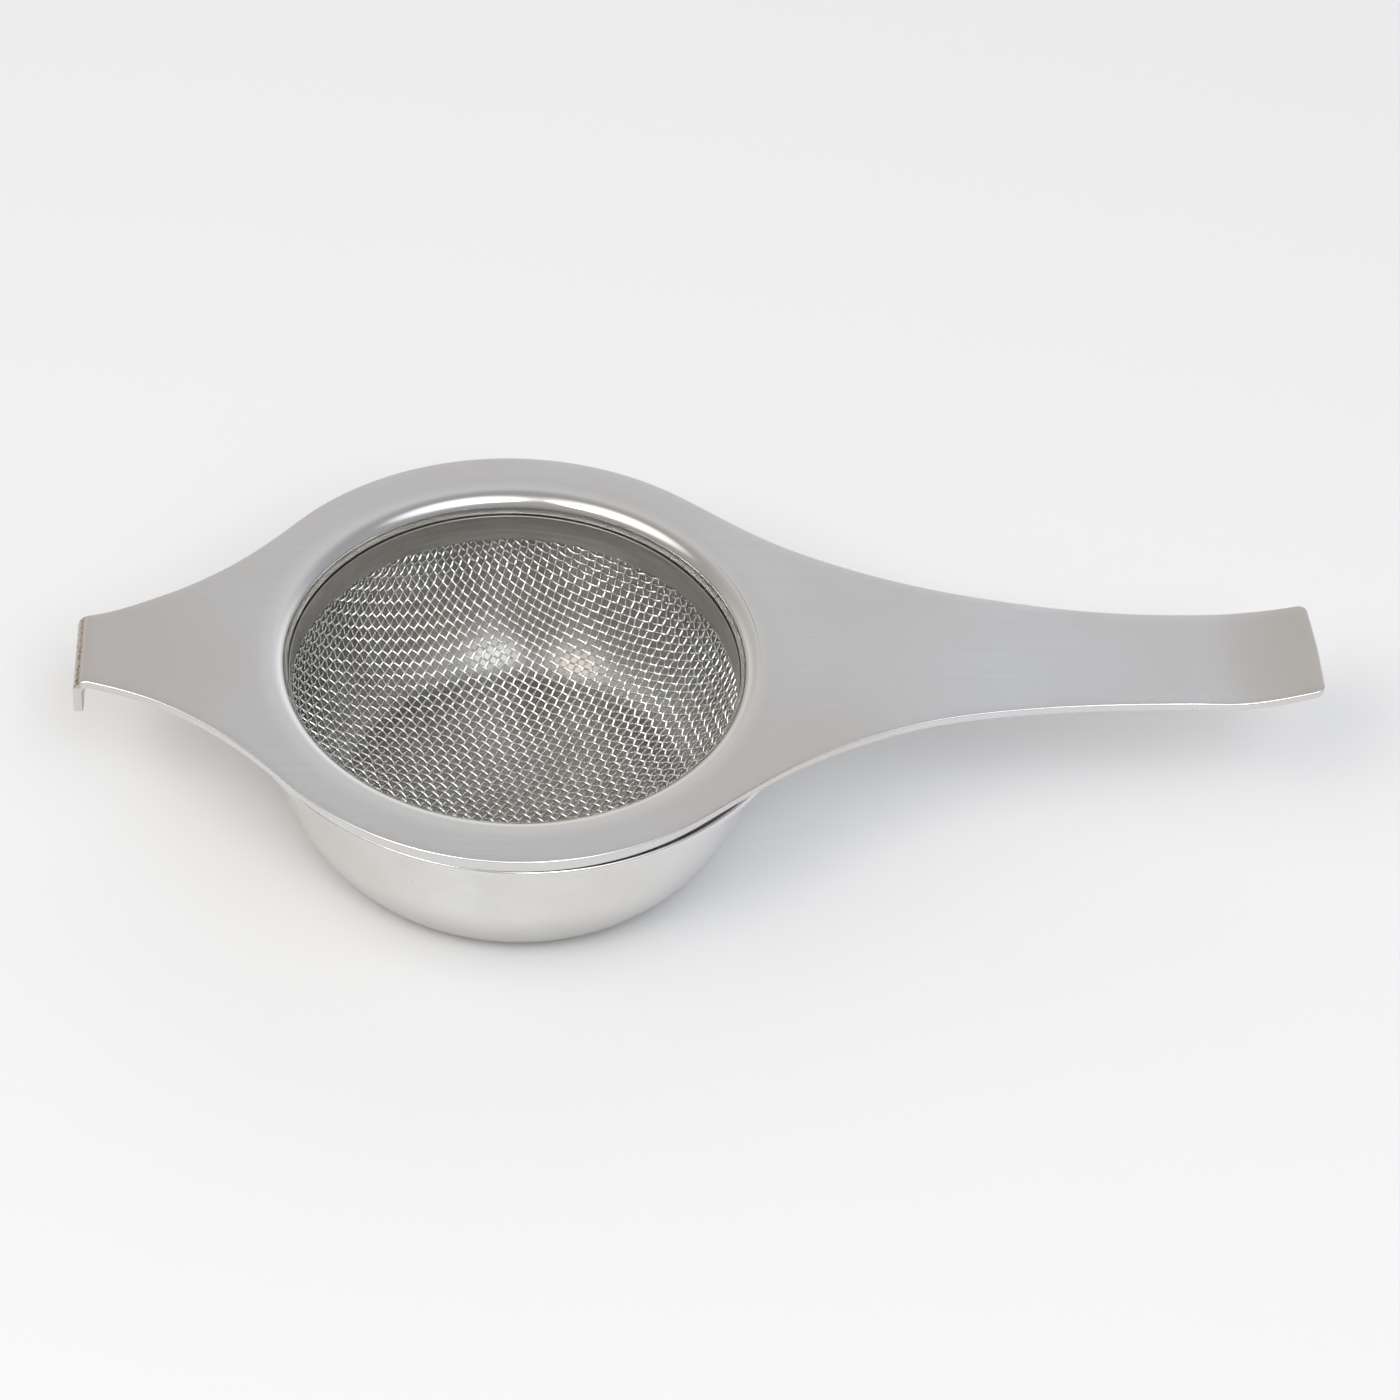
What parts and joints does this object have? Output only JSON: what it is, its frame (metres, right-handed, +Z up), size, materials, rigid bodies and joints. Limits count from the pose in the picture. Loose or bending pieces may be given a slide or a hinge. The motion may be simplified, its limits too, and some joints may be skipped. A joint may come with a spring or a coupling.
{
  "type": "tea strainer",
  "caption": "Tea strainer: a flat steel disc with a domed wire-cloth basket, hook tab and long tapering handle, resting loose on a flanged drip bowl that it lifts off.",
  "frame": {"origin": "centre of the bowl's flat foot, on the table", "axes": "+X along the long handle towards its turned-up end, +Z up; the hook tab is at -X"},
  "size_m": [0.1603, 0.075, 0.0305],
  "materials": {
    "brushed_plate": "brushed round the disc and along the handles, polished at the lip of the opening",
    "wire_cloth": "bright drawn wire",
    "dull_band": "dull, unpolished",
    "satin_bowl": "soft satin polish"
  },
  "bodies": {
    "bowl": {"drip_bowl": "satin_bowl"},
    "strainer": {"strainer_plate": "brushed_plate", "mesh_basket": "wire_cloth", "retaining_ring": "dull_band"}
  },
  "joints": [
    {"name": "strainer_lift", "type": "slide", "parent": "bowl", "child": "strainer", "axis": [0, 0, 1], "range_m": [0, 0.04]}
  ]
}
